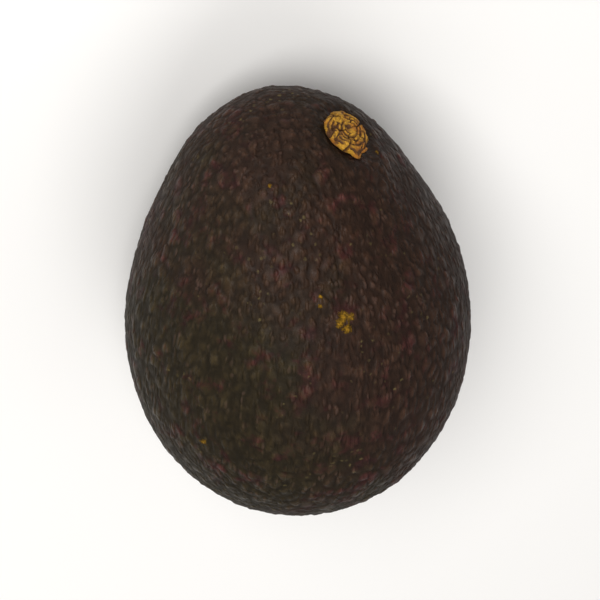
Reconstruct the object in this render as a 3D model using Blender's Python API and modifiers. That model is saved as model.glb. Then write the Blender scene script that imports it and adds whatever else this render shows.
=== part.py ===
"""A whole avocado, as picked, lying on its side with its stem end towards +X.

Two pieces: the fruit (skin, flesh and stone as one solid, the way it grew) and the woody
stem button, which sits in a shallow dish at the stem end and comes away with a thumb.
Metres, +Z up. The origin is the middle of the bounding box, at the bottom.
"""
import math

import bmesh
import bpy
from mathutils import Euler, Matrix, Vector
from mathutils.bvhtree import BVHTree

# Overall size of the fruit without its button, before it is tipped and its flat is pressed in
FRUIT_LENGTH = 0.0865
FRUIT_WIDTH = 0.0630
FRUIT_HEIGHT = 0.0610

# How the form departs from an ellipsoid: shares of the girth, and places along it from
# -1 at the blossom end to +1 at the stem end
TAPER = 0.14            # lost from the middle to the stem end, gained towards the blossom end
NECK_WAIST = 0.075      # extra slimming at the neck
NECK_WAIST_SIDE = 0.45  # how much of that slimming favours the upper side
NECK_PLACE = 0.56
NECK_SPREAD = 0.26
NECK_BEND = 0.0042      # sideways lean of the neck, towards +Y
BASE_BEND = -0.0015     # sideways lean of the blossom end

# How it rests
REST_PITCH = math.radians(4.5)   # stem end dips, which puts the weight over the flat
REST_FLAT_DEPTH = 0.0008         # how far the underside is flattened where it rests

# Where the stem button sits, as angles seen from the middle of the fruit
STEM_OFF_TIP = math.radians(10.0)   # away from the very tip of the neck
STEM_TURN = math.radians(58.0)      # round the neck, from straight up towards -Y

# The dish around the stem and the socket in its floor
STEM_DISH_DEPTH = 0.0019    # below the untouched skin
STEM_DISH_CURVE = 0.0190    # radius of the dish's hollow
SOCKET_DEPTH = 0.0016       # below the floor of the dish

# The button
BUTTON_RADIUS = 0.0045
BUTTON_EDGE = 0.0004        # how far its upper and lower edges are drawn in
BUTTON_HEIGHT = 0.0030      # floor of the dish to the top of the central nub
NUB_RADIUS = 0.0016
RING_RADIUS = 0.0031        # where the outer ring is highest
RING_DROP = 0.0003          # how much lower the ring is than the nub
GROOVE_DEPTH = 0.0007       # between the ring and the nub
ROOT_RADIUS = 0.0026
SEAT_CLEARANCE = 0.0003     # between the button and the fruit, all round

# Mesh density
CAGE_CUTS = 4
SMOOTH_LEVELS = 2
TURNED_STEPS = 32
DISH_ARC_STEPS = 7
DISH_CUTTER_RADIUS = 0.0090
DISH_CUTTER_TOP = 0.0060
FLAT_CUTTER_SIZE = 0.2000
MERGE_DISTANCE = 0.00001
TINY = 1e-9

SKIN_COLOUR = (0.036, 0.026, 0.016, 1.0)
SKIN_ROUGHNESS = 0.45
CORK_COLOUR = (0.30, 0.17, 0.035, 1.0)
CORK_ROUGHNESS = 0.75


def clear_scene():
    for thing in list(bpy.data.objects):
        bpy.data.objects.remove(thing)


def make_collection(name):
    collection = bpy.data.collections.new(name)
    bpy.context.scene.collection.children.link(collection)
    return collection


def make_material(name, colour, roughness):
    material = bpy.data.materials.new(name)
    material.use_nodes = True
    shader = material.node_tree.nodes["Principled BSDF"]
    shader.inputs["Base Color"].default_value = colour
    shader.inputs["Roughness"].default_value = roughness
    shader.inputs["Metallic"].default_value = 0.0
    return material


def evaluated_points(thing):
    """World positions of an object's corners, with its modifiers applied."""
    bpy.context.view_layer.update()
    depsgraph = bpy.context.evaluated_depsgraph_get()
    smooth = thing.evaluated_get(depsgraph)
    return [smooth.matrix_world @ corner.co for corner in smooth.data.vertices]


def extent(points, axis):
    values = [point[axis] for point in points]
    return min(values), max(values)


def avocado_form(direction):
    """Where the skin lies for a point on a ball: an ellipsoid, tapered, waisted and bent."""
    along = direction.x
    upward = direction.z / max(math.hypot(direction.y, direction.z), TINY)
    neck = NECK_WAIST * math.exp(-((along - NECK_PLACE) / NECK_SPREAD) ** 2)
    neck *= 1.0 - NECK_WAIST_SIDE + NECK_WAIST_SIDE * upward
    girth = 1.0 - TAPER * along - neck
    bend = NECK_BEND if along > 0.0 else BASE_BEND
    return Vector((
        along * FRUIT_LENGTH / 2,
        direction.y * girth * FRUIT_WIDTH / 2 + bend * along * along,
        direction.z * girth * FRUIT_HEIGHT / 2,
    ))


def make_fruit_cage(collection, material):
    """A coarse cage of even squares, which a Subdivision Surface smooths into the fruit."""
    cage = bmesh.new()
    bmesh.ops.create_cube(cage, size=2.0)
    bmesh.ops.subdivide_edges(cage, edges=cage.edges[:], cuts=CAGE_CUTS, use_grid_fill=True)
    for corner in cage.verts:
        # tan() spaces the squares evenly once they are pushed out on to the ball
        spread = Vector([math.tan(value * math.pi / 4) for value in corner.co])
        corner.co = avocado_form(spread.normalized())
    mesh = bpy.data.meshes.new("fruit")
    cage.to_mesh(mesh)
    cage.free()
    mesh.shade_smooth()
    mesh.materials.append(material)
    fruit = bpy.data.objects.new("fruit", mesh)
    collection.objects.link(fruit)
    smooth = fruit.modifiers.new("soft_form", "SUBSURF")
    smooth.levels = SMOOTH_LEVELS
    smooth.render_levels = SMOOTH_LEVELS
    return fruit


def stretch_to_size(fruit):
    """Smoothing draws a cage in, so the cage is stretched until the skin has its sizes."""
    points = evaluated_points(fruit)
    sizes = (FRUIT_LENGTH, FRUIT_WIDTH, FRUIT_HEIGHT)
    for axis, size in enumerate(sizes):
        low, high = extent(points, axis)
        stretch = size / (high - low)
        for corner in fruit.data.vertices:
            corner.co[axis] *= stretch
    fruit.data.transform(Matrix.Rotation(REST_PITCH, 4, "Y"))


def find_stem_seat(fruit):
    """The place and tilt of the dish: its lowest point, with +Z standing out of the fruit."""
    bpy.context.view_layer.update()
    tree = BVHTree.FromObject(fruit, bpy.context.evaluated_depsgraph_get())
    direction = Euler((STEM_TURN, 0.0, 0.0)).to_matrix() @ Vector((
        math.cos(STEM_OFF_TIP), 0.0, math.sin(STEM_OFF_TIP)))
    point, normal, _, _ = tree.ray_cast(Vector(), direction)
    tilt = Vector((0.0, 0.0, 1.0)).rotation_difference(normal)
    return point - normal * STEM_DISH_DEPTH, tilt


def dish_height(radius):
    """Height of the dish's floor at a distance from its middle."""
    return STEM_DISH_CURVE - math.sqrt(STEM_DISH_CURVE ** 2 - radius ** 2)


def dish_arc(outer, inner, raised):
    """Outline points along the floor of the dish, from outside in."""
    points = []
    for step in range(DISH_ARC_STEPS + 1):
        radius = outer + (inner - outer) * step / DISH_ARC_STEPS
        points.append((radius, dish_height(radius) + raised))
    return points


def turn(name, outline, collection):
    """A solid of revolution from an outline that runs from the top down its outer side."""
    mesh = bpy.data.meshes.new(name)
    corners = [(radius, 0.0, height) for radius, height in outline]
    edges = [(index, index + 1) for index in range(len(corners) - 1)]
    mesh.from_pydata(corners, edges, [])
    solid = bpy.data.objects.new(name, mesh)
    collection.objects.link(solid)
    screw = solid.modifiers.new("turned", "SCREW")
    screw.steps = TURNED_STEPS
    screw.render_steps = TURNED_STEPS
    screw.use_merge_vertices = True
    screw.merge_threshold = MERGE_DISTANCE
    screw.use_smooth_shade = True
    return solid


def place(thing, seat, tilt):
    thing.location = seat
    thing.rotation_mode = "QUATERNION"
    thing.rotation_quaternion = tilt


def hide_cutter(cutter):
    cutter.hide_render = True
    cutter.display_type = "WIRE"


def cut(solid, cutter):
    boolean = solid.modifiers.new(cutter.name, "BOOLEAN")
    boolean.operation = "DIFFERENCE"
    boolean.solver = "EXACT"
    boolean.object = cutter
    hide_cutter(cutter)


def make_dish_cutter(collection):
    """Cuts the dish and, in its floor, the socket for the button's root."""
    socket_radius = ROOT_RADIUS + SEAT_CLEARANCE
    outline = [(0.0, DISH_CUTTER_TOP), (DISH_CUTTER_RADIUS, DISH_CUTTER_TOP)]
    outline += dish_arc(DISH_CUTTER_RADIUS, socket_radius, 0.0)
    outline += [(socket_radius, -SOCKET_DEPTH), (0.0, -SOCKET_DEPTH)]
    return turn("stem_dish_cutter", outline, collection)


def make_flat_cutter(collection, fruit):
    """A block under the fruit, whose top is the surface that the fruit rests on."""
    lowest, _ = extent(evaluated_points(fruit), 2)
    bpy.ops.mesh.primitive_cube_add(size=FLAT_CUTTER_SIZE)
    block = bpy.context.object
    block.name = "rest_flat_cutter"
    block.location = (0.0, 0.0, lowest + REST_FLAT_DEPTH - FLAT_CUTTER_SIZE / 2)
    for owner in list(block.users_collection):
        owner.objects.unlink(block)
    collection.objects.link(block)
    return block


def make_button(collection, material):
    """The woody button: a nub inside a raised ring, and a short root below."""
    ring_height = BUTTON_HEIGHT - RING_DROP
    underside = dish_arc(BUTTON_RADIUS - BUTTON_EDGE, ROOT_RADIUS, SEAT_CLEARANCE)
    root_bottom = SEAT_CLEARANCE - SOCKET_DEPTH
    outline = [
        (0.0, BUTTON_HEIGHT),
        (NUB_RADIUS / 2, BUTTON_HEIGHT),
        (NUB_RADIUS, BUTTON_HEIGHT - GROOVE_DEPTH / 2),
        ((NUB_RADIUS + RING_RADIUS) / 2, ring_height - GROOVE_DEPTH),
        (RING_RADIUS, ring_height),
        (BUTTON_RADIUS - BUTTON_EDGE, ring_height - GROOVE_DEPTH),
        (BUTTON_RADIUS, ring_height / 2 + underside[0][1] / 2),
    ]
    outline += underside
    outline += [(ROOT_RADIUS, root_bottom), (0.0, root_bottom)]
    button = turn("stem_button", outline, collection)
    button.data.materials.append(material)
    return button


def set_on_origin(root, pieces):
    """Moves the empty that carries the pieces, so that they stand centred on the origin."""
    points = [point for piece in pieces for point in evaluated_points(piece)]
    low_x, high_x = extent(points, 0)
    low_y, high_y = extent(points, 1)
    low_z, _ = extent(points, 2)
    root.location = (-(low_x + high_x) / 2, -(low_y + high_y) / 2, -low_z)


def main():
    clear_scene()
    parts = make_collection("avocado")
    cutters = make_collection("avocado_cutters")
    skin = make_material("avocado_skin", SKIN_COLOUR, SKIN_ROUGHNESS)
    cork = make_material("stem_cork", CORK_COLOUR, CORK_ROUGHNESS)

    fruit = make_fruit_cage(parts, skin)
    stretch_to_size(fruit)
    seat, tilt = find_stem_seat(fruit)
    button = make_button(parts, cork)
    place(button, seat, tilt)

    flat_cutter = make_flat_cutter(cutters, fruit)
    dish_cutter = make_dish_cutter(cutters)
    place(dish_cutter, seat, tilt)
    cut(fruit, dish_cutter)
    cut(fruit, flat_cutter)

    root = bpy.data.objects.new("avocado", None)
    parts.objects.link(root)
    for thing in (fruit, button, dish_cutter, flat_cutter):
        thing.parent = root
    set_on_origin(root, (fruit, button))


main()
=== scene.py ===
"""An avocado's looks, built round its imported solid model.

The pebbled skin and the corky stem button are dense meshes with node-based materials. They
stand for the solid model's two pieces and keep its sizes. A pale floor, soft studio lamps and
a camera complete the scene. Metres, +Z up, the stem end towards +X.
"""

import math

import bmesh
import bpy
import numpy as np
from bpy.props import FloatProperty, FloatVectorProperty, IntProperty, PointerProperty
from mathutils import Euler, Matrix, Vector, noise
from mathutils.bvhtree import BVHTree


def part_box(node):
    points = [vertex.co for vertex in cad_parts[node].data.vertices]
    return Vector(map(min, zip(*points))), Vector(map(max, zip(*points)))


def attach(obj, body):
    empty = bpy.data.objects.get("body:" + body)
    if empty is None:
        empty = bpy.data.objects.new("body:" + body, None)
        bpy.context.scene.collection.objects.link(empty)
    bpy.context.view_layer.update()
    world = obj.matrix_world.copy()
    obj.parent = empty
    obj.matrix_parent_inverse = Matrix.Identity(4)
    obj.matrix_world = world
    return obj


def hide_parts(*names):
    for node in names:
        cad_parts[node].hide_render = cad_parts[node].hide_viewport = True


bl_info = {
    "name": "Avocado",
    "version": (1, 0, 0),
    "blender": (4, 5, 0),
    "location": "3D View > Sidebar > Avocado",
    "description": "Builds a whole avocado with pebbled skin and a corky stem button",
    "category": "Add Mesh",
}

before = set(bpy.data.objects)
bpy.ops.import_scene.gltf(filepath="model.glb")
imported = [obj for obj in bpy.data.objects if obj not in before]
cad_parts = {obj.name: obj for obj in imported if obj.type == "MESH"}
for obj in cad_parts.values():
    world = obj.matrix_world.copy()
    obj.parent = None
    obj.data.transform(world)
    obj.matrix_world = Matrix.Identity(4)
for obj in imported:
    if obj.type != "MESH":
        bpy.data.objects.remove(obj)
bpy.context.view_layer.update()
FRUIT_LOW, FRUIT_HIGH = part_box("fruit")

MM = 0.001
TINY = 1e-9
# Every skin and button detail takes its own patch of the noise by a step along it
NOISE_STEP = 37.0
# Sets the chance numbers of neighbouring cells well apart
CELL_STEP = 91.7
# Starts the dice that scatter the small corky spots
SPOT_SEED = 11


class FruitForm(bpy.types.PropertyGroup):
    """Sizes and shape of the fruit."""

    length: FloatProperty(
        name="Length", description="Blossom end to stem end", unit="LENGTH",
        default=FRUIT_HIGH.x - FRUIT_LOW.x, min=0.02)
    width: FloatProperty(
        name="Width", description="Side to side at the belly", unit="LENGTH",
        default=FRUIT_HIGH.y - FRUIT_LOW.y, min=0.02)
    height: FloatProperty(
        name="Height", description="Surface to the top of the fruit as it lies", unit="LENGTH",
        default=FRUIT_HIGH.z - FRUIT_LOW.z, min=0.02)
    taper: FloatProperty(
        name="Taper", description="Share of the girth lost from the middle to the stem end",
        subtype="FACTOR", default=0.14, min=0.0, max=0.4)
    waist: FloatProperty(
        name="Neck waist", description="Extra slimming at the neck, as a share of the girth",
        subtype="FACTOR", default=0.075, min=0.0, max=0.3)
    waist_side: FloatProperty(
        name="Waist side", description="How much of the waist favours the upper side",
        subtype="FACTOR", default=0.45, min=0.0, max=1.0)
    waist_place: FloatProperty(
        name="Waist place", description="Along the fruit, from -1 at the base to 1 at the stem",
        default=0.56, min=-1.0, max=1.0)
    waist_spread: FloatProperty(
        name="Waist spread", description="How long the waist is, on the same scale",
        default=0.26, min=0.05, max=1.0)
    neck_bend: FloatProperty(
        name="Neck bend", description="Sideways lean of the neck", unit="LENGTH",
        default=4.2 * MM)
    base_bend: FloatProperty(
        name="Base bend", description="Sideways lean of the blossom end", unit="LENGTH",
        default=-1.5 * MM)
    rest_pitch: FloatProperty(
        name="Rest pitch", description="How far the stem end dips as the fruit lies",
        subtype="ANGLE", default=math.radians(4.5))
    rest_flat: FloatProperty(
        name="Resting flat", description="How far the underside is flattened", unit="LENGTH",
        default=0.8 * MM, min=0.0)


class StemSeat(bpy.types.PropertyGroup):
    """Where the stem button sits, and the dish round it."""

    off_tip: FloatProperty(
        name="Off the tip", description="Angle from the tip of the neck, seen from the middle",
        subtype="ANGLE", default=math.radians(10.0))
    turn: FloatProperty(
        name="Turn", description="Angle round the neck, from straight up",
        subtype="ANGLE", default=math.radians(58.0))
    dish_depth: FloatProperty(
        name="Dish depth", description="Floor of the dish below the untouched skin",
        unit="LENGTH", default=1.9 * MM, min=0.0)
    dish_curve: FloatProperty(
        name="Dish curve", description="Radius of the dish's hollow",
        unit="LENGTH", default=19.0 * MM, min=0.005)
    socket_radius: FloatProperty(
        name="Socket radius", description="Radius of the hole for the button's root",
        unit="LENGTH", default=2.9 * MM, min=0.0)
    socket_depth: FloatProperty(
        name="Socket depth", description="Depth of the hole for the button's root",
        unit="LENGTH", default=1.6 * MM, min=0.0)


class SkinRelief(bpy.types.PropertyGroup):
    """Size and height of what stands out of the skin."""

    fineness: IntProperty(
        name="Fineness", description="The skin has six times four to this power squares",
        default=7, min=4, max=7)
    pebble_size: FloatProperty(
        name="Pebble size", description="Width of a pebble", unit="LENGTH",
        default=2.3 * MM, min=0.0005)
    pebble_height: FloatProperty(
        name="Pebble height", description="How far a pebble stands out", unit="LENGTH",
        default=0.55 * MM, min=0.0)
    pebble_stretch: FloatProperty(
        name="Pebble stretch", description="How much longer a pebble is along the fruit",
        default=1.35, min=1.0)
    dent_height: FloatProperty(
        name="Dents", description="Height of the slow unevenness", unit="LENGTH",
        default=0.40 * MM, min=0.0)
    wrinkle_height: FloatProperty(
        name="Wrinkles", description="Height of the lengthwise wrinkles", unit="LENGTH",
        default=0.10 * MM, min=0.0)
    spot_count: IntProperty(
        name="Corky spots", description="How many more corky spots are scattered over the skin",
        default=9, min=0)
    spot_height: FloatProperty(
        name="Spot height", description="How far a corky spot stands out", unit="LENGTH",
        default=0.16 * MM, min=0.0)


class SkinColours(bpy.types.PropertyGroup):
    """Colours of the skin."""

    brown: FloatVectorProperty(
        name="Brown", description="Main colour", subtype="COLOR", size=4,
        default=(0.033, 0.0150, 0.0082, 1.0), min=0.0, max=1.0)
    olive: FloatVectorProperty(
        name="Olive", description="Greener patches", subtype="COLOR", size=4,
        default=(0.027, 0.0185, 0.0070, 1.0), min=0.0, max=1.0)
    purple: FloatVectorProperty(
        name="Purple", description="Redder patches", subtype="COLOR", size=4,
        default=(0.043, 0.0120, 0.0098, 1.0), min=0.0, max=1.0)
    # Painted shade: the dark colour mixed into the skin in the dish round the stem button
    dish_shade: FloatVectorProperty(
        name="Groove", description="Between the pebbles", subtype="COLOR", size=4,
        default=(0.010, 0.0070, 0.0045, 1.0), min=0.0, max=1.0)
    spot: FloatVectorProperty(
        name="Corky spot", description="Amber spots", subtype="COLOR", size=4,
        default=(0.21, 0.110, 0.007, 1.0), min=0.0, max=1.0)
    fleck: FloatVectorProperty(
        name="Fleck", description="Pale tops of some pebbles", subtype="COLOR", size=4,
        default=(0.085, 0.050, 0.040, 1.0), min=0.0, max=1.0)
    speck: FloatVectorProperty(
        name="Speck", description="Tiny pale green specks", subtype="COLOR", size=4,
        default=(0.135, 0.105, 0.040, 1.0), min=0.0, max=1.0)


class ButtonForm(bpy.types.PropertyGroup):
    """Sizes and colours of the stem button."""

    radius: FloatProperty(
        name="Radius", description="Middle to edge", unit="LENGTH",
        default=4.5 * MM, min=0.001)
    height: FloatProperty(
        name="Height", description="Floor of the dish to the top of the nub", unit="LENGTH",
        default=3.0 * MM, min=0.001)
    root_radius: FloatProperty(
        name="Root radius", description="Radius of the root in its socket", unit="LENGTH",
        default=2.6 * MM, min=0.0005)
    clearance: FloatProperty(
        name="Clearance", description="Between the button and the fruit", unit="LENGTH",
        default=0.3 * MM, min=0.0)
    amber: FloatVectorProperty(
        name="Amber", description="Crests of the cork", subtype="COLOR", size=4,
        default=(0.43, 0.225, 0.017, 1.0), min=0.0, max=1.0)
    ochre: FloatVectorProperty(
        name="Ochre", description="Body of the cork", subtype="COLOR", size=4,
        default=(0.18, 0.082, 0.007, 1.0), min=0.0, max=1.0)
    rust: FloatVectorProperty(
        name="Rust", description="Redder parts of the cork", subtype="COLOR", size=4,
        default=(0.28, 0.095, 0.009, 1.0), min=0.0, max=1.0)
    # The cracks' own dark colour, also used as painted shade in the hollows and under the button
    crack_colour_and_shade: FloatVectorProperty(
        name="Bark", description="Cracks and hollows of the cork", subtype="COLOR", size=4,
        default=(0.065, 0.026, 0.007, 1.0), min=0.0, max=1.0)


class StageLook(bpy.types.PropertyGroup):
    """Camera, lamps and floor."""

    azimuth: FloatProperty(
        name="Camera azimuth", description="Round from the stem end towards +Y",
        subtype="ANGLE", default=math.radians(24.0))
    elevation: FloatProperty(
        name="Camera elevation", description="Above the floor", subtype="ANGLE",
        default=math.radians(45.0))
    lean: FloatProperty(
        name="Lean", description="How far the stem end leans to the camera's right",
        subtype="ANGLE", default=math.radians(3.6))
    distance: FloatProperty(
        name="Distance", description="Camera to the middle of the fruit", unit="LENGTH",
        default=0.75, min=0.05)
    lens: FloatProperty(
        name="Lens", description="Focal length in millimetres", unit="CAMERA",
        default=250.0, min=10.0)
    floor: FloatVectorProperty(
        name="Floor", description="Colour of the floor", subtype="COLOR", size=4,
        default=(0.86, 0.86, 0.86, 1.0), min=0.0, max=1.0)
    sky: FloatProperty(
        name="Even light", description="Strength of the light from all round",
        default=0.36, min=0.0)


# ---------------------------------------------------------------- helpers

def new_piece(name, mesh):
    """An object in the scene, riding on the fruit's only body."""
    piece = bpy.data.objects.new(name, mesh)
    bpy.context.scene.collection.objects.link(piece)
    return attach(piece, "root")


def smoothstep(low, high, values):
    """Eases from 0 at low to 1 at high, whichever of the two is the larger."""
    share = np.clip((values - low) / (high - low), 0.0, 1.0)
    return share * share * (3.0 - 2.0 * share)


def rounded(values):
    """A round-topped bump with steep sides, for values from 0 at its foot to 1 on top."""
    return 1.0 - (1.0 - np.clip(values, 0.0, 1.0)) ** 2


def bell(away, width):
    """1 at a place, and 0.37 at a width away from it."""
    return np.exp(-(away / width) ** 2)


def smooth_minimum(first, second, blend):
    """The lower of two heights, with the crease between them rounded over blend."""
    share = np.clip(0.5 + 0.5 * (second - first) / blend, 0.0, 1.0)
    return second * (1.0 - share) + first * share - blend * share * (1.0 - share)


def move_corners(mesh, points):
    """Puts the mesh's corners at the points."""
    mesh.vertices.foreach_set("co", points.astype(np.float32).ravel())
    mesh.update()


def corner_values(mesh, name, count):
    """What a mesh stores at its corners, as rows of count numbers."""
    values = np.empty(len(mesh.vertices) * count, np.float32)
    mesh.vertices.foreach_get(name, values)
    return values.reshape(-1, count).astype(float)


def keep_attribute(mesh, name, values):
    """Stores a number at each corner of the mesh, for its material to read."""
    attribute = mesh.attributes.new(name, "FLOAT", "POINT")
    attribute.data.foreach_set("value", values.astype(np.float32))


def noise_at(points, size, patch=0):
    """Smooth noise from -1 to 1 at each point, for features of a size."""
    shifted = points / size + patch * NOISE_STEP
    return np.array([noise.noise(row) for row in shifted.tolist()])


def cells_at(points, size, patch=0):
    """For cells of a size: how far each point is inside its cell, and the cell's own number.

    The first runs from 0 on the cell's edge to about 1, and the second is a chance number
    from 0 to 1 that all points of a cell share.
    """
    shifted = points / size + patch * NOISE_STEP
    inside = []
    chance = []
    for row in shifted.tolist():
        distances, middles = noise.voronoi(row)
        inside.append(distances[1] - distances[0])
        chance.append(noise.cell(middles[0] * CELL_STEP) * 0.5 + 0.5)
    return np.array(inside), np.array(chance)


# ---------------------------------------------------------------- the fruit

def ball_points(levels):
    """A mesh of even squares all over a ball, and the direction of each of its corners."""
    block = bmesh.new()
    bmesh.ops.create_cube(block, size=2.0)
    mesh = bpy.data.meshes.new("ball_block")
    block.to_mesh(mesh)
    block.free()
    cube = bpy.data.objects.new("ball_block", mesh)
    bpy.context.scene.collection.objects.link(cube)
    split = cube.modifiers.new("squares", "SUBSURF")
    split.subdivision_type = "SIMPLE"
    split.levels = levels
    depsgraph = bpy.context.evaluated_depsgraph_get()
    ball = bpy.data.meshes.new_from_object(cube.evaluated_get(depsgraph), depsgraph=depsgraph)
    bpy.data.objects.remove(cube)
    # tan() spaces the squares evenly once they are pushed out on to the ball
    directions = np.tan(corner_values(ball, "co", 3) * math.pi / 4)
    return ball, directions / np.linalg.norm(directions, axis=1)[:, None]


def fruit_form(directions, form):
    """Where the smooth skin lies for each point on a ball, and where the fruit's middle is."""
    along, across, up = directions.T
    upward = up / np.maximum(np.hypot(across, up), TINY)
    neck = form.waist * bell(along - form.waist_place, form.waist_spread)
    neck = neck * (1.0 - form.waist_side + form.waist_side * upward)
    girth = 1.0 - form.taper * along - neck
    bend = np.where(along > 0.0, form.neck_bend, form.base_bend)
    full_height = form.height + form.rest_flat
    points = np.stack([
        along * form.length / 2,
        across * girth * form.width / 2 + bend * along * along,
        up * girth * full_height / 2,
    ], axis=1)
    points = points @ np.array(Matrix.Rotation(form.rest_pitch, 3, "Y")).T
    low, high = points.min(0), points.max(0)
    stretch = np.array([form.length, form.width, full_height]) / (high - low)
    middle = -(low + high) / 2 * stretch
    middle[2] = -low[2] * stretch[2] - form.rest_flat
    return points * stretch + middle, middle


def stem_frame(mesh, middle, seat):
    """The dish's own axes: its lowest point at the origin, +Z standing out of the fruit."""
    surface = BVHTree.FromPolygons(
        [corner.co for corner in mesh.vertices],
        [polygon.vertices for polygon in mesh.polygons])
    direction = Euler((seat.turn, 0.0, 0.0)).to_matrix() @ Vector((
        math.cos(seat.off_tip), 0.0, math.sin(seat.off_tip)))
    point, normal, _, _ = surface.ray_cast(Vector(middle), direction)
    if point is None:
        raise RuntimeError("the stem seat's direction misses the fruit")
    tilt = Vector((0.0, 0.0, 1.0)).rotation_difference(normal)
    return Matrix.Translation(point - normal * seat.dish_depth) @ tilt.to_matrix().to_4x4()


def to_local(points, axes):
    """Points of the fruit, as the dish's own axes see them."""
    inverse = np.array(axes.inverted())
    return points @ inverse[:3, :3].T + inverse[:3, 3]


def to_world(points, axes):
    """Points of the dish's own axes, as the fruit sees them."""
    matrix = np.array(axes)
    return points @ matrix[:3, :3].T + matrix[:3, 3]


def dish_floor(radius, seat):
    """Height of the dish's floor at a distance from its middle, with the socket left out."""
    # The hollow is part of a ball, so it's held where that ball would turn steep
    held = np.minimum(radius, seat.dish_curve * 0.9)
    return seat.dish_curve - np.sqrt(seat.dish_curve ** 2 - held ** 2)


# The folds that run out of the dish and fade along the neck: how many, how far apart their
# unevenness is, from where to where they run, and how high they are
FOLD_COUNT = 13
FOLD_WANDER = 5.0 * MM
FOLD_START = 3.5 * MM
FOLD_FULL = 5.5 * MM
FOLD_FADE = 6.0 * MM
FOLD_END = 12.0 * MM
FOLD_HEIGHT = 0.42 * MM
# The puckered lip round the dish
LIP_RADIUS = 6.6 * MM
LIP_WIDTH = 1.3 * MM
LIP_HEIGHT = 0.25 * MM
# How softly the dish's floor runs into the skin, and how far from it the skin is worked
RIM_BLEND = 0.9 * MM
DISH_REACH = 14.0 * MM
DISH_BELOW = 12.0 * MM
# The socket is cut this much wider at its mouth and wall and this much deeper than the root
# needs, so that its uneven wall clears it
SOCKET_MOUTH = 0.7 * MM
SOCKET_WALL = 0.2 * MM
SOCKET_DEEPER = 0.3 * MM
# The dish's painted shade begins at the first radius and is full at the second
DISH_SHADE_BEGIN = 7.5 * MM
DISH_SHADE_FULL = 4.8 * MM


def carve_dish(points, axes, seat):
    """Presses the dish and its socket into the skin, with a soft, puckered rim.

    Returns the points, and the share of painted shade each gets in the dish, from 0 outside to 1
    inside.
    """
    local = to_local(points, axes)
    distance = np.hypot(local[:, 0], local[:, 1])
    near = (distance < DISH_REACH) & (local[:, 2] > -DISH_BELOW)
    radius = distance[near]
    around = np.arctan2(local[near, 1], local[near, 0])

    wander = noise_at(local[near] * [1, 1, 0.3], FOLD_WANDER, 9)
    folds = np.abs(np.sin(around * FOLD_COUNT / 2 + wander * 2.6)) ** 0.7 - 0.6
    folds = folds * (0.7 + 0.5 * wander)
    fade = smoothstep(FOLD_START, FOLD_FULL, radius)
    fade = fade * (1 - smoothstep(FOLD_FADE, FOLD_END, radius))
    lip = bell(radius - LIP_RADIUS, LIP_WIDTH) * (LIP_HEIGHT + 0.15 * wander * MM)
    skin = local[near, 2] + fade * folds * FOLD_HEIGHT + lip

    floor = dish_floor(radius, seat) + (wander * 0.10 + folds * 0.16) * MM
    mouth = seat.socket_radius + SOCKET_MOUTH
    wall = seat.socket_radius + SOCKET_WALL
    inside = smoothstep(mouth, wall, radius)
    floor = floor - inside * (seat.socket_depth + SOCKET_DEEPER)
    local[near, 2] = smooth_minimum(skin, floor, RIM_BLEND)
    depth = np.zeros(len(points))
    # Painted shade in the dish, by the distance from its middle
    depth[near] = smoothstep(DISH_SHADE_BEGIN, DISH_SHADE_FULL, radius)
    return to_world(local, axes), depth


# Corky spots that every avocado of this kind gets: place along the fruit from -1 at the base
# to 1 at the stem end, angle round it from straight up towards -Y, and radius
CHOSEN_SPOTS = (
    (0.32, -2.0, 1.20 * MM),
    (0.33, 0.5, 0.75 * MM),
    (0.28, -1.5, 0.85 * MM),
    (0.30, -4.0, 0.70 * MM),
    (0.41, -10.0, 0.45 * MM),
    (0.38, -10.5, 0.42 * MM),
    (0.81, -31.0, 0.38 * MM),
    (-0.31, -52.0, 0.70 * MM),
    (-0.55, 64.0, 0.80 * MM),
    (-0.12, 118.0, 0.60 * MM),
    (-0.48, -128.0, 0.75 * MM),
)


def spot_places(directions, relief):
    """Which points the corky spots sit on, and how wide they are: chosen ones, then scattered."""
    nearest = []
    radii = []
    for along, turn, radius in CHOSEN_SPOTS:
        girth = math.sqrt(1.0 - along * along)
        angle = math.radians(turn)
        place = [along, -math.sin(angle) * girth, math.cos(angle) * girth]
        nearest.append(int(np.argmax(directions @ place)))
        radii.append(radius)
    dice = np.random.default_rng(SPOT_SEED)
    nearest.extend(dice.choice(len(directions), relief.spot_count, replace=False).tolist())
    radii.extend(dice.uniform(0.36, 0.50, relief.spot_count) * MM)
    return nearest, radii


def cork_field(directions, points, relief):
    """How near each point is to a corky spot: 1 in its middle, 0.5 at its edge."""
    nearest, radii = spot_places(directions, relief)
    field = np.zeros(len(points))
    ragged = noise_at(points, 0.9 * MM, 4)
    for index, radius in zip(nearest, radii):
        away = np.linalg.norm(points - points[index], axis=1) / radius
        share = 1.0 - away * 0.5 + ragged * 0.20
        field = np.maximum(field, np.where(away < 2.2, share, 0.0))
    return np.clip(field, 0.0, 1.0)


def pebble_relief(points, relief):
    """Height of the pebbles at each point, from 0 in the grooves to 1, and their tints."""
    stretched = points / [relief.pebble_stretch, 1.0, 1.0]
    warp = np.stack([noise_at(points, 2.6 * MM, patch) for patch in (1, 2, 3)], axis=1)
    stretched = stretched + warp * 0.26 * relief.pebble_size
    large, tint = cells_at(stretched, relief.pebble_size)
    small, small_tint = cells_at(stretched, relief.pebble_size * 0.55, 5)
    large = rounded(large / 0.80) * (0.40 + 0.60 * tint)
    small = rounded(small / 0.75) * (0.25 + 0.75 * small_tint)
    return 0.66 * large + 0.34 * small, 0.65 * tint + 0.35 * small_tint


# Sizes of what shapes the skin, other than its pebbles
SLOW_DENT = 24 * MM
QUICK_DENT = 9 * MM
ROUGH_PATCH = 15 * MM
WRINKLE_GAP = 2.6 * MM
WRINKLE_STRETCH = 4.2
WRINKLE_PATCH = 20 * MM
# How near the middle of the dish the pebbles begin and are full
PEBBLES_BEGIN = 4.0 * MM
PEBBLES_FULL = 5.8 * MM
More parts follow.
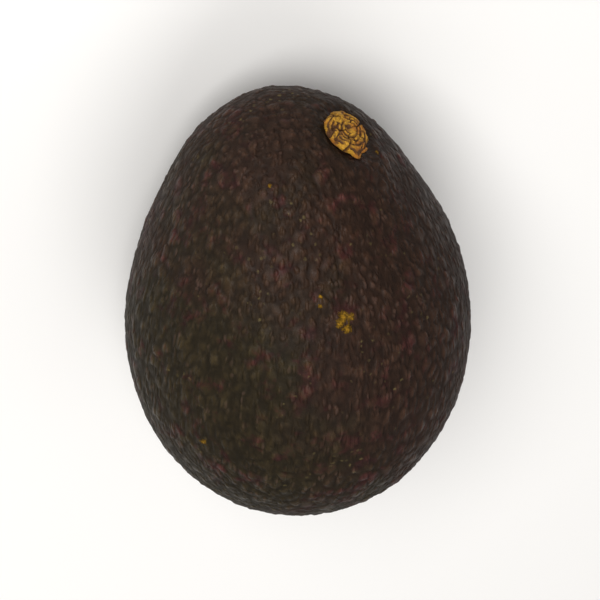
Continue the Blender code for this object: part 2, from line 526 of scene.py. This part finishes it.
# The blossom end: the scar's radius, the width and depth of its dimple, and its knob
SCAR_RADIUS = 2.4 * MM
DIMPLE_WIDTH = 3.4 * MM
DIMPLE_DEPTH = 0.62 * MM
PUCKER_COUNT = 9
PUCKER_HEIGHT = 0.22 * MM
KNOB_WIDTH = 1.0 * MM
KNOB_HEIGHT = 0.32 * MM
# The underside clears the surface it rests on by a hair, and rounds into its flat
REST_CLEARANCE = 0.02 * MM
REST_BLEND = 0.25 * MM


def blossom_end(points, tip, dents):
    """The dry scar of the flower in a puckered dimple: its height, and how scarred the skin is."""
    reach = points - tip
    from_tip = np.linalg.norm(reach, axis=1)
    around = np.arctan2(reach[:, 1], reach[:, 2])
    puckers = np.abs(np.sin(around * PUCKER_COUNT / 2 + dents * 3.0))
    puckers = puckers * smoothstep(0.6 * MM, 1.8 * MM, from_tip)
    dimple = bell(from_tip, DIMPLE_WIDTH) * (puckers * PUCKER_HEIGHT - DIMPLE_DEPTH)
    knob = bell(from_tip, KNOB_WIDTH) * KNOB_HEIGHT
    return dimple + knob, np.clip(1.0 - from_tip / SCAR_RADIUS, 0.0, 1.0)


def make_skin_mesh(form, seat, relief):
    """The whole skin: form, dents, wrinkles, pebbles, corky spots, the dish and the flat."""
    mesh, directions = ball_points(relief.fineness)
    points, middle = fruit_form(directions, form)
    move_corners(mesh, points)
    axes = stem_frame(mesh, middle, seat)
    normals = corner_values(mesh, "normal", 3)

    from_dish = np.linalg.norm(to_local(points, axes), axis=1)
    open_skin = smoothstep(PEBBLES_BEGIN, PEBBLES_FULL, from_dish)
    dents = noise_at(points, SLOW_DENT, 6) + 0.45 * noise_at(points, QUICK_DENT, 7)
    pebbles, tint = pebble_relief(points, relief)
    rough_zone = 0.80 + 0.40 * noise_at(points, ROUGH_PATCH, 8)
    long_points = points / [WRINKLE_STRETCH, 1.0, 1.0]
    wrinkles = 1.0 - 2.2 * np.abs(noise_at(long_points, WRINKLE_GAP, 10))
    wrinkle_zone = smoothstep(-0.25, 0.45, noise_at(points, WRINKLE_PATCH, 12))
    spots = cork_field(directions, points, relief)
    cork = smoothstep(0.35, 0.60, spots)
    height = (
        dents * relief.dent_height
        + (pebbles - 1.0) * rough_zone * relief.pebble_height * open_skin
        + wrinkles * wrinkle_zone * relief.wrinkle_height * open_skin
        + cork * relief.spot_height
    )
    dimple, scar = blossom_end(points, points[directions[:, 0].argmin()], dents)
    height = height * (1.0 - cork * 0.2) + dimple

    points = points + normals * height[:, None]
    points, depth = carve_dish(points, axes, seat)
    lowest = np.full(len(points), -REST_CLEARANCE)
    points[:, 2] = -smooth_minimum(-points[:, 2], lowest, REST_BLEND)
    move_corners(mesh, points)
    mesh.shade_smooth()
    keep_attribute(mesh, "pebble", 1.0 - (1.0 - pebbles) * open_skin)
    keep_attribute(mesh, "tint", tint)
    keep_attribute(mesh, "cork", np.maximum(spots, scar))
    # The share of painted shade in the dish round the stem button
    keep_attribute(mesh, "dish", depth)
    mesh.name = "fruit_skin"
    return mesh


class AVOCADO_OT_fruit(bpy.types.Operator):
    """Build the fruit with its pebbled skin"""

    bl_idname = "avocado.make_fruit"
    bl_label = "Make fruit"

    def execute(self, context):
        scene = context.scene
        mesh = make_skin_mesh(scene.avocado_form, scene.avocado_seat, scene.avocado_relief)
        mesh.materials.append(skin_material(scene.avocado_skin))
        skin = new_piece("fruit_skin", mesh)
        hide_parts("fruit")
        return {"FINISHED"}


# ---------------------------------------------------------------- the stem button

def button_outline(button, seat):
    """The button's outline before it grows uneven, from its middle to its root."""
    top = button.height
    edge = button.radius
    under = dish_floor(np.array([edge * 0.9, button.root_radius]), seat) + button.clearance
    root = button.clearance - seat.socket_depth
    return [
        (0.0, top * 0.84), (0.12 * edge, top * 0.87), (0.24 * edge, top * 0.89),
        (0.34 * edge, top * 0.84), (0.46 * edge, top * 0.84), (0.58 * edge, top * 0.88),
        (0.70 * edge, top * 0.88), (0.81 * edge, top * 0.83), (0.90 * edge, top * 0.74),
        (0.96 * edge, top * 0.61), (1.00 * edge, top * 0.47),
        (0.97 * edge, under[0] * 1.15), (0.90 * edge, under[0]),
        (0.75 * edge, under[0] * 0.6 + under[1] * 0.4), (button.root_radius, under[1]),
        (button.root_radius, root), (button.root_radius * 0.8, root), (0.0, root),
    ]


def sample_outline(outline, rings):
    """Even steps along an outline: the radius and the height of each."""
    corners = np.array(outline)
    steps = np.linalg.norm(np.diff(corners, axis=0), axis=1)
    reach = np.concatenate([[0.0], np.cumsum(steps)])
    places = np.linspace(0.0, reach[-1], rings)
    return np.interp(places, reach, corners[:, 0]), np.interp(places, reach, corners[:, 1])


# The clefts that part the button's lobes: angle, half width and depth
CLEFTS = (
    (0.30, 0.075, 0.80),
    (1.42, 0.110, 1.00),
    (2.45, 0.085, 0.85),
    (3.75, 0.100, 1.00),
    (4.95, 0.070, 0.70),
)
# Short cracks between them: angle, half width, and the share of the radius they run from and to
CRACKS = (
    (0.85, 0.040, 0.45, 0.80),
    (1.85, 0.035, 0.62, 0.98),
    (2.95, 0.045, 0.40, 0.72),
    (3.30, 0.030, 0.70, 1.00),
    (4.30, 0.040, 0.50, 0.90),
    (5.40, 0.035, 0.38, 0.70),
    (5.90, 0.040, 0.60, 0.96),
)
# The corky tail at the button's foot: angle, half width, reach as a share of the radius, and drop
TAIL_ANGLE = 2.95
TAIL_WIDTH = 0.17
TAIL_REACH = 0.19
TAIL_DROP = 0.55 * MM
# The small pit beside the button's middle: its place and its radius
PIT_X = 0.5 * MM
PIT_Y = -0.3 * MM
PIT_RADIUS = 0.55 * MM
RING_GAP = 0.80 * MM
# How softly the underside of the cork levels out over the dish
UNDER_BLEND = 0.10 * MM
# Rings from the button's middle to its root, and steps round each
BUTTON_RINGS = 150
BUTTON_STEPS = 240


def turn_between(around, place):
    """Signed angle from a place, between -pi and pi."""
    return np.angle(np.exp(1j * (around - place)))


def button_relief(radius, height, around, button):
    """How the cork grows away from its plain outline: outward, upward, and how hollow it is, which
    sets its crack colour and painted shade.
    """
    share = radius / button.radius
    points = np.stack([radius * np.cos(around), radius * np.sin(around), height], axis=1)
    flat = points * [1.0, 1.0, 0.25]
    top_side = smoothstep(button.height * 0.14, button.height * 0.46, height)
    wander = noise_at(flat, 2.2 * MM, 21)
    quick = noise_at(flat, 0.9 * MM, 25)
    fine = noise_at(points, 0.42 * MM, 23)
    knobs = noise_at(flat, 1.5 * MM, 22)
    ring_zone = smoothstep(0.08, 0.30, share) * top_side

    clefts = np.zeros(len(radius))
    for place, width, depth in CLEFTS:
        away = turn_between(around, place + 0.34 * wander + 0.14 * quick)
        clefts = np.maximum(clefts, depth * bell(away, width * (0.45 + 0.75 * share)))
    cracks = np.zeros(len(radius))
    for place, width, start, end in CRACKS:
        away = turn_between(around, place + 0.30 * wander + 0.16 * quick)
        reach = smoothstep(start - 0.08, start + 0.08, share)
        reach = reach * smoothstep(end + 0.08, end - 0.08, share)
        cracks = np.maximum(cracks, reach * bell(away, width / np.maximum(share, 0.3)))
    clefts = clefts * ring_zone
    cracks = cracks * ring_zone
    # Growth rings: round ridges with sharp creases between them, uneven and broken up
    swept = radius + (0.42 * wander + 0.17 * quick + 0.12 * np.sin(around * 2.0 + 0.7)) * MM
    ridges = np.abs(np.sin(math.pi * swept / RING_GAP)) ** 0.8
    broken = 0.25 + 0.75 * smoothstep(-0.40, 0.15, noise_at(flat, 1.2 * MM, 26))
    creases = (1.0 - ridges) * broken * ring_zone
    tail = bell(turn_between(around, TAIL_ANGLE), TAIL_WIDTH) * smoothstep(0.80, 1.0, share)
    tail = tail * smoothstep(0.03, 0.25, height / button.height)

    outward = 1.0 + top_side * (
        0.060 * noise_at(flat, 2.6 * MM, 24)
        - 0.17 * clefts * smoothstep(0.6, 1.0, share)
        - 0.05 * cracks
        + 0.050 * noise_at(flat, 1.3 * MM, 27)
        + 0.050 * quick
        + 0.025 * fine)
    outward = outward + tail * TAIL_REACH
    pit = bell(np.hypot(points[:, 0] - PIT_X, points[:, 1] - PIT_Y), PIT_RADIUS)
    upward = top_side * MM * (
        0.34 * knobs + 0.12 * quick + 0.08 * fine
        - 0.46 * creases - 0.80 * clefts - 0.40 * cracks - 0.40 * pit)
    upward = upward - tail * TAIL_DROP
    # The cracks' own dark colour, with painted shade in the creases, clefts and pit
    hollow = np.maximum(np.maximum(creases * 1.15, clefts), np.maximum(cracks, pit * 0.75))
    hollow = hollow - 0.22 * knobs - 0.25 * fine - 0.12 * quick
    # Painted shade under the button: its underside takes the dark colour of the hollows
    hollow = np.maximum(hollow, 0.9 * (1.0 - top_side) * (1.0 - tail))
    return outward, upward, np.clip(hollow, 0.0, 1.0)


def make_button_mesh(button, seat):
    """A lobed rosette of cork round a central scar, in the dish's own axes."""
    rings = BUTTON_RINGS
    steps = BUTTON_STEPS
    radius, height = sample_outline(button_outline(button, seat), rings)
    # The first and last places on the outline are single points, and the rest become rings
    ring_radius = np.repeat(radius[1:-1], steps)
    ring_height = np.repeat(height[1:-1], steps)
    around = np.tile(np.arange(steps) * 2 * math.pi / steps, rings - 2)
    outward, upward, hollow = button_relief(ring_radius, ring_height, around, button)
    points = np.stack([
        ring_radius * np.cos(around) * outward,
        ring_radius * np.sin(around) * outward,
        ring_height + upward,
    ], axis=1)
    # Outside its root the cork stays above the dish, whose folds rise past the plain floor
    over_dish = ring_radius > button.root_radius * 1.05
    lowest = dish_floor(np.hypot(points[:, 0], points[:, 1]), seat) + button.clearance * 0.8
    kept_above = -smooth_minimum(-points[:, 2], -lowest, UNDER_BLEND)
    points[:, 2] = np.where(over_dish, kept_above, points[:, 2])

    turned = bmesh.new()
    crown_height = height[0] + upward[:steps].mean()
    crown = turned.verts.new((0.0, 0.0, crown_height))
    rows = []
    for ring in range(rings - 2):
        start = ring * steps
        rows.append([turned.verts.new(points[start + step]) for step in range(steps)])
    foot = turned.verts.new((0.0, 0.0, height[-1]))
    for step in range(steps):
        after = (step + 1) % steps
        turned.faces.new((crown, rows[0][step], rows[0][after]))
        turned.faces.new((foot, rows[-1][after], rows[-1][step]))
        for upper, lower in zip(rows, rows[1:]):
            turned.faces.new((upper[step], lower[step], lower[after], upper[after]))
    mesh = bpy.data.meshes.new("stem_button_cork")
    turned.to_mesh(mesh)
    turned.free()
    mesh.shade_smooth()
    # How hollow the cork is, for its crack colour and painted shade
    keep_attribute(mesh, "hollow", np.concatenate([[hollow[:steps].mean()], hollow, [1.0]]))
    return mesh


# How fine a ball the button's seat is found on
SEAT_FINENESS = 5


class AVOCADO_OT_stem_button(bpy.types.Operator):
    """Build the corky stem button in its dish"""

    bl_idname = "avocado.make_stem_button"
    bl_label = "Make stem button"

    def execute(self, context):
        scene = context.scene
        seat = scene.avocado_seat
        # The seat is found on the plain form, so a coarse one will do
        ball, directions = ball_points(SEAT_FINENESS)
        points, middle = fruit_form(directions, scene.avocado_form)
        move_corners(ball, points)
        axes = stem_frame(ball, middle, seat)
        bpy.data.meshes.remove(ball)
        mesh = make_button_mesh(scene.avocado_button, seat)
        mesh.transform(axes)
        mesh.materials.append(cork_material(scene.avocado_button))
        cork = new_piece("stem_button_cork", mesh)
        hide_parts("stem_button")
        return {"FINISHED"}


# ---------------------------------------------------------------- materials

# How strongly the skin and the cork reflect: both are dull
SKIN_SPECULAR = 0.13
CORK_SPECULAR = 0.30
FLOOR_ROUGHNESS = 0.65


class Finish:
    """Short calls for adding and joining the nodes of one finish."""

    def __init__(self, name):
        self.material = bpy.data.materials.new(name)
        self.material.use_nodes = True
        self.nodes = self.material.node_tree.nodes
        self.links = self.material.node_tree.links
        self.shader = self.nodes["Principled BSDF"]

    def feed(self, socket, value):
        """Links a socket to another, or sets its own value."""
        if isinstance(value, bpy.types.NodeSocket):
            self.links.new(value, socket)
        else:
            socket.default_value = value

    def node(self, kind, settings=(), **inputs):
        """A new node with its settings, and its inputs by name with _ for a space."""
        made = self.nodes.new("ShaderNode" + kind)
        for key, value in dict(settings).items():
            setattr(made, key, value)
        for key, value in inputs.items():
            self.feed(made.inputs[key.replace("_", " ")], value)
        return made

    def attribute(self, name):
        """A number that the mesh keeps at its corners."""
        return self.node("Attribute", {"attribute_name": name}).outputs["Fac"]

    def places(self, stretch=(1.0, 1.0, 1.0)):
        """The piece's own coordinates, in metres, drawn out along the fruit by stretch."""
        spot = self.node("TexCoord").outputs["Object"]
        return self.node("Mapping", Vector=spot, Scale=stretch).outputs["Vector"]

    def noise(self, places, size, detail=3.0, roughness=0.5, patch=0.0):
        """Noise from 0 to 1 for features of a size, from its own patch of the pattern."""
        made = self.node("TexNoise", {"noise_dimensions": "4D"}, Vector=places, W=patch,
                         Scale=1.0 / size, Detail=detail, Roughness=roughness)
        return made.outputs["Fac"]

    def cells(self, places, size):
        """Distance to the nearest of some scattered middles, for cells of a size."""
        made = self.node("TexVoronoi", Vector=places, Scale=1.0 / size)
        return made.outputs["Distance"]

    def bent(self, places, size, reach):
        """Places pushed about by noise of a size, as far as reach."""
        push = self.node("TexNoise", Vector=places, Scale=1.0 / size, Detail=1.0)
        centred = self.node("VectorMath", {"operation": "SUBTRACT"})
        self.feed(centred.inputs[0], push.outputs["Color"])
        centred.inputs[1].default_value = (0.5, 0.5, 0.5)
        scaled = self.node("VectorMath", {"operation": "SCALE"}, Scale=2.0 * reach)
        self.feed(scaled.inputs[0], centred.outputs[0])
        moved = self.node("VectorMath", {"operation": "ADD"})
        self.feed(moved.inputs[0], places)
        self.feed(moved.inputs[1], scaled.outputs[0])
        return moved.outputs[0]

    def remap(self, value, low, high, to_low=0.0, to_high=1.0):
        """Eases a value from one range into another, and holds it at the ends."""
        made = self.node("MapRange", {"interpolation_type": "SMOOTHSTEP"}, Value=value)
        for key, number in (("From Min", low), ("From Max", high),
                            ("To Min", to_low), ("To Max", to_high)):
            made.inputs[key].default_value = number
        return made.outputs["Result"]

    def sum(self, first, second, operation="ADD"):
        """Two values added, or joined by another operation."""
        made = self.node("Math", {"operation": operation})
        self.feed(made.inputs[0], first)
        self.feed(made.inputs[1], second)
        return made.outputs[0]

    def mix(self, share, first, second, blend="MIX"):
        """Two colours mixed by share."""
        made = self.node("Mix", {"data_type": "RGBA", "blend_type": blend})
        self.feed(made.inputs["Factor"], share)
        self.feed(made.inputs[6], first)
        self.feed(made.inputs[7], second)
        return made.outputs[2]

    def bump(self, height, strength, distance, under=None):
        """Relief for the shader, on top of another relief where there is one."""
        made = self.node("Bump", Height=height, Strength=strength, Distance=distance)
        if under is not None:
            self.links.new(under, made.inputs["Normal"])
        return made.outputs["Normal"]


def skin_material(colours):
    """Dark pebbled rind: brown with olive and purple patches, amber cork and a faint gloss."""
    rind = Finish("avocado_skin")
    places = rind.places()
    along = rind.places((0.35, 1.0, 1.0))
    pebble = rind.attribute("pebble")
    tint = rind.attribute("tint")
    cork = rind.attribute("cork")
    # How much painted shade the dish round the stem button gets
    dish = rind.attribute("dish")

    # More of the side towards +Y is olive
    side = rind.node("SeparateXYZ", Vector=places).outputs["Y"]
    greener = rind.remap(side, -20 * MM, 26 * MM, -0.10, 0.14)
    patches = rind.sum(rind.noise(places, 26 * MM, 3.0, 0.55, 1.0), greener)
    patches = rind.remap(patches, 0.42, 0.64)
    blush = rind.noise(places, 4.5 * MM, 4.0, 0.62, 2.0)
    blush = rind.sum(blush, rind.sum(tint, 0.16, "MULTIPLY"))
    colour = rind.mix(patches, tuple(colours.brown), tuple(colours.olive))
    colour = rind.mix(rind.remap(blush, 0.60, 0.78), colour, tuple(colours.purple))
    mottle = rind.noise(along, 1.1 * MM, 4.0, 0.68, 3.0)
    colour = rind.mix(1.0, colour, rind.remap(mottle, 0.30, 0.72, 0.70, 1.30), "MULTIPLY")
    # Painted shade in the grooves and painted light on the pebble tops, following the pebbles'
    # height
    tops = rind.remap(pebble, 0.10, 0.75, 0.56, 1.22)
    colour = rind.mix(1.0, colour, tops, "MULTIPLY")

    # Fine grain between and on the pebbles, with painted shade at the low edges of its bumps, and
    # paler tops in places
    grain_places = rind.bent(along, 1.6 * MM, 0.5 * MM)
    grain = rind.remap(rind.cells(grain_places, 1.0 * MM), 0.62, 0.12)
    # Painted shade where the fine bumps are low and painted light where they are high
    colour = rind.mix(1.0, colour, rind.remap(grain, 0.0, 1.0, 0.78, 1.16), "MULTIPLY")
    fleck_zone = rind.remap(rind.noise(places, 6 * MM, 3.0, 0.6, 8.0), 0.48, 0.64)
    flecks = rind.sum(rind.remap(grain, 0.55, 1.0), fleck_zone, "MULTIPLY")
    colour = rind.mix(rind.sum(flecks, 0.32, "MULTIPLY"), colour, tuple(colours.fleck))
    speck_zone = rind.remap(rind.noise(places, 7 * MM, 2.0, 0.5, 4.0), 0.52, 0.66)
    speck_places = rind.bent(places, 0.6 * MM, 0.35 * MM)
    specks = rind.remap(rind.cells(speck_places, 1.5 * MM), 0.27, 0.11)
    speck_share = rind.sum(rind.sum(speck_zone, specks, "MULTIPLY"), 0.50, "MULTIPLY")
    colour = rind.mix(speck_share, colour, tuple(colours.speck))

    # Painted shade in the dish round the stem button
    colour = rind.mix(rind.sum(dish, 0.45, "MULTIPLY"), colour, tuple(colours.dish_shade))
    ragged = rind.noise(places, 0.55 * MM, 3.0, 0.65, 5.0)
    edge = rind.sum(cork, rind.remap(ragged, 0.2, 0.8, -0.22, 0.22))
    cork_share = rind.remap(edge, 0.46, 0.58)
    cork_tone = rind.remap(edge, 0.55, 0.95)
    dark_cork = tuple(0.35 * part for part in colours.spot[:3]) + (1.0,)
    cork_colour = rind.mix(cork_tone, dark_cork, tuple(colours.spot))
    crumbs = rind.remap(rind.noise(places, 0.28 * MM, 3.0, 0.6, 9.0), 0.34, 0.62, 0.45, 1.20)
    cork_colour = rind.mix(1.0, cork_colour, crumbs, "MULTIPLY")
    colour = rind.mix(cork_share, colour, cork_colour)
    rind.feed(rind.shader.inputs["Base Color"], colour)

    gloss = rind.remap(rind.noise(places, 5 * MM, 3.0, 0.6, 6.0), 0.3, 0.7, 0.43, 0.56)
    gloss = rind.sum(gloss, rind.remap(pebble, 0.05, 0.6, 0.20, 0.0))
    gloss = rind.sum(gloss, rind.sum(cork_share, 0.30, "MULTIPLY"))
    rind.feed(rind.shader.inputs["Roughness"], gloss)
    pores = rind.bump(rind.noise(places, 0.35 * MM, 3.0, 0.6, 7.0), 0.55, 0.12 * MM)
    rind.feed(rind.shader.inputs["Normal"], rind.bump(grain, 0.90, 0.24 * MM, pores))
    rind.shader.inputs["Specular IOR Level"].default_value = SKIN_SPECULAR
    return rind.material


def cork_material(button):
    """Dry amber cork: bright crests, ochre body, dark brown cracks, and painted shade in its
    hollows and under it.
    """
    cork = Finish("stem_cork")
    places = cork.places()
    hollow = cork.attribute("hollow")
    tone = cork.noise(places, 1.2 * MM, 4.0, 0.62, 1.0)
    fibre = cork.noise(places, 0.20 * MM, 3.0, 0.6, 2.0)
    # Painted light on the crests and painted shade in the hollows, on top of the cork's own tone
    crests = cork.sum(tone, cork.sum(hollow, -0.35, "MULTIPLY"))
    colour = cork.mix(cork.remap(crests, 0.34, 0.58), tuple(button.ochre), tuple(button.amber))
    rusty = cork.remap(cork.noise(places, 2.6 * MM, 2.0, 0.5, 3.0), 0.46, 0.66, 0.0, 0.75)
    colour = cork.mix(rusty, colour, tuple(button.rust))
    colour = cork.mix(1.0, colour, cork.remap(fibre, 0.3, 0.7, 0.62, 1.28), "MULTIPLY")
    # Crack colour and painted shade in the hollows and under the button
    edge = cork.sum(hollow, cork.remap(fibre, 0.2, 0.8, -0.14, 0.14))
    colour = cork.mix(cork.remap(edge, 0.20, 0.62), colour, tuple(button.crack_colour_and_shade))
    cork.feed(cork.shader.inputs["Base Color"], colour)
    cork.feed(cork.shader.inputs["Roughness"], cork.remap(fibre, 0.2, 0.8, 0.66, 0.88))
    pits = cork.remap(cork.cells(places, 0.34 * MM), 0.10, 0.45)
    rough_cork = cork.bump(pits, 0.5, 0.08 * MM)
    cork.feed(cork.shader.inputs["Normal"], cork.bump(fibre, 0.7, 0.12 * MM, rough_cork))
    cork.shader.inputs["Specular IOR Level"].default_value = CORK_SPECULAR
    return cork.material


def floor_material(colour):
    """Plain pale floor with a barely seen mottle."""
    paint = Finish("pale_floor")
    mottle = paint.remap(paint.noise(paint.places(), 0.12, 2.0, 0.5, 1.0), 0.2, 0.8, 0.985, 1.0)
    paint.feed(paint.shader.inputs["Base Color"], paint.mix(1.0, tuple(colour), mottle, "MULTIPLY"))
    paint.shader.inputs["Roughness"].default_value = FLOOR_ROUGHNESS
    return paint.material


# ---------------------------------------------------------------- the stage

def direction_to(azimuth, elevation):
    """Unit vector towards a place round from +X and above the floor."""
    return Vector((
        math.cos(elevation) * math.cos(azimuth),
        math.cos(elevation) * math.sin(azimuth),
        math.sin(elevation),
    ))


def camera_turn(toward, lean):
    """A camera's rotation that shows the stem end up, leaning right by an angle."""
    stem_up = Vector((1.0, 0.0, 0.0))
    stem_up = (stem_up - toward * stem_up.dot(toward)).normalized()
    right = stem_up.cross(toward)
    up = stem_up * math.cos(lean) - right * math.sin(lean)
    side = up.cross(toward)
    return Matrix((side, up, toward)).transposed()


def add_camera(look, target):
    """The scene's camera, turned to the target."""
    toward = direction_to(look.azimuth, look.elevation)
    data = bpy.data.cameras.new("camera")
    data.lens = look.lens
    data.clip_start = NEAREST_SEEN
    camera = bpy.data.objects.new("camera", data)
    turn = camera_turn(toward, look.lean).to_4x4()
    camera.matrix_world = Matrix.Translation(target + toward * look.distance) @ turn
    bpy.context.scene.collection.objects.link(camera)
    bpy.context.scene.camera = camera


def add_lamp(target, name, azimuth, elevation, distance, size, power):
    """A square soft lamp that faces the target."""
    toward = direction_to(math.radians(azimuth), math.radians(elevation))
    data = bpy.data.lights.new(name, "AREA")
    data.size = size
    data.energy = power
    data.color = LAMP_COLOUR
    lamp = bpy.data.objects.new(name, data)
    lamp.location = target + toward * distance
    lamp.rotation_euler = toward.to_track_quat("Z", "Y").to_euler()
    bpy.context.scene.collection.objects.link(lamp)


def add_floor(colour):
    """A wide flat floor under the fruit."""
    plate = bmesh.new()
    bmesh.ops.create_grid(plate, x_segments=1, y_segments=1, size=FLOOR_HALF_WIDTH)
    mesh = bpy.data.meshes.new("pale_floor")
    plate.to_mesh(mesh)
    plate.free()
    mesh.materials.append(floor_material(colour))
    floor = bpy.data.objects.new("pale_floor", mesh)
    bpy.context.scene.collection.objects.link(floor)


NEAREST_SEEN = 0.01
FLOOR_HALF_WIDTH = 4.0
LAMP_COLOUR = (1.0, 0.98, 0.95)
SKY_COLOUR = (1.0, 0.98, 0.96, 1.0)
# The soft lamps: name, degrees round from the stem end towards +Y, degrees above the floor,
# metres from the fruit, metres wide, watts
LAMPS = (
    ("key_lamp", 38.0, 46.0, 1.1, 0.50, 11.5),
    ("top_lamp", 165.0, 68.0, 1.1, 0.80, 3.6),
    ("fill_lamp", -100.0, 24.0, 1.2, 0.80, 1.0),
)


class AVOCADO_OT_stage(bpy.types.Operator):
    """Set up the floor, the soft lamps and the camera"""

    bl_idname = "avocado.set_stage"
    bl_label = "Set stage"

    def execute(self, context):
        look = context.scene.avocado_stage
        target = Vector((0.0, 0.0, (FRUIT_LOW.z + FRUIT_HIGH.z) / 2))
        add_floor(look.floor)
        for lamp in LAMPS:
            add_lamp(target, *lamp)
        world = bpy.data.worlds.new("studio")
        world.use_nodes = True
        sky = world.node_tree.nodes["Background"]
        sky.inputs["Color"].default_value = SKY_COLOUR
        sky.inputs["Strength"].default_value = look.sky
        context.scene.world = world
        context.scene.view_settings.view_transform = "Standard"
        add_camera(look, target)
        return {"FINISHED"}


# ---------------------------------------------------------------- the panel

class AVOCADO_PT_panel(bpy.types.Panel):
    """Lists the avocado's pieces and settings"""

    bl_idname = "AVOCADO_PT_panel"
    bl_label = "Avocado"
    bl_space_type = "VIEW_3D"
    bl_region_type = "UI"
    bl_category = "Avocado"

    def draw(self, context):
        for title, name, operator in PANEL_ROWS:
            box = self.layout.box()
            box.label(text=title)
            group = getattr(context.scene, name)
            for key in group.bl_rna.properties.keys():
                if key not in ("rna_type", "name"):
                    box.prop(group, key)
            if operator:
                box.operator(operator)


PANEL_ROWS = (
    ("Form", "avocado_form", None),
    ("Stem seat", "avocado_seat", None),
    ("Relief", "avocado_relief", None),
    ("Skin", "avocado_skin", "avocado.make_fruit"),
    ("Stem button", "avocado_button", "avocado.make_stem_button"),
    ("Stage", "avocado_stage", "avocado.set_stage"),
)
GROUPS = {
    "avocado_form": FruitForm,
    "avocado_seat": StemSeat,
    "avocado_relief": SkinRelief,
    "avocado_skin": SkinColours,
    "avocado_button": ButtonForm,
    "avocado_stage": StageLook,
}
CLASSES = (*GROUPS.values(), AVOCADO_OT_fruit, AVOCADO_OT_stem_button, AVOCADO_OT_stage,
           AVOCADO_PT_panel)


def register():
    for item in CLASSES:
        bpy.utils.register_class(item)
    for name, group in GROUPS.items():
        setattr(bpy.types.Scene, name, PointerProperty(type=group))


def unregister():
    for name in GROUPS:
        delattr(bpy.types.Scene, name)
    for item in reversed(CLASSES):
        bpy.utils.unregister_class(item)


def main():
    register()
    bpy.ops.avocado.make_fruit()
    bpy.ops.avocado.make_stem_button()
    bpy.ops.avocado.set_stage()


if __name__ == "__main__":
    main()
